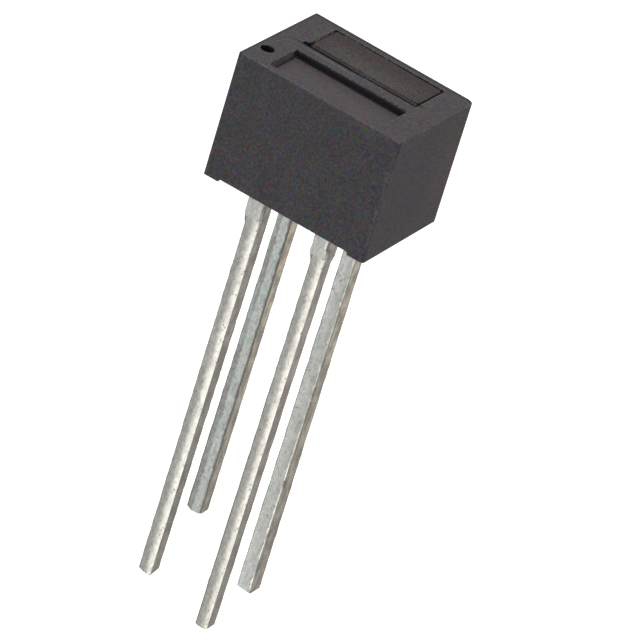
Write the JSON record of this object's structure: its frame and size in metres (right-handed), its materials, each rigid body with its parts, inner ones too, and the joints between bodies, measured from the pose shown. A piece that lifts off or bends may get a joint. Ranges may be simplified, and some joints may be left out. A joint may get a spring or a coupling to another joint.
{
  "type": "reflective optical sensor",
  "caption": "Reflective optical sensor: an infrared lamp and a phototransistor side by side behind windows in a black moulded housing, with long leads for a circuit board.",
  "frame": {"origin": "on the board's surface, under the middle of the housing; the feet stand on this plane and the leads go down through it", "axes": "+Z is the way the sensor looks, away from the board; +X runs along the housing's long side; the dimple that marks the first lead is at -X, -Y"},
  "size_m": [0.006, 0.0044, 0.0198],
  "materials": {
    "housing_plastic": "fine moulded texture",
    "detector_epoxy": "smooth, passes infrared only",
    "lamp_epoxy": "smooth, passes infrared only",
    "fill_resin": "poured",
    "tinned_lead": "tinned, dulled, lightly marked",
    "chip": "polished semiconductor",
    "conductive_epoxy": "silver-filled",
    "bond_wire": "drawn"
  },
  "bodies": {
    "root": {"housing": "housing_plastic", "detector_block": "detector_epoxy", "lamp_block": "lamp_epoxy", "resin_fill": "fill_resin", "collector_lead": "tinned_lead", "emitter_lead": "tinned_lead", "anode_lead": "tinned_lead", "cathode_lead": "tinned_lead", "detector_chip": "chip", "lamp_chip": "chip", "detector_film": "conductive_epoxy", "lamp_film": "conductive_epoxy", "detector_wire": "bond_wire", "lamp_wire": "bond_wire"}
  },
  "joints": []
}
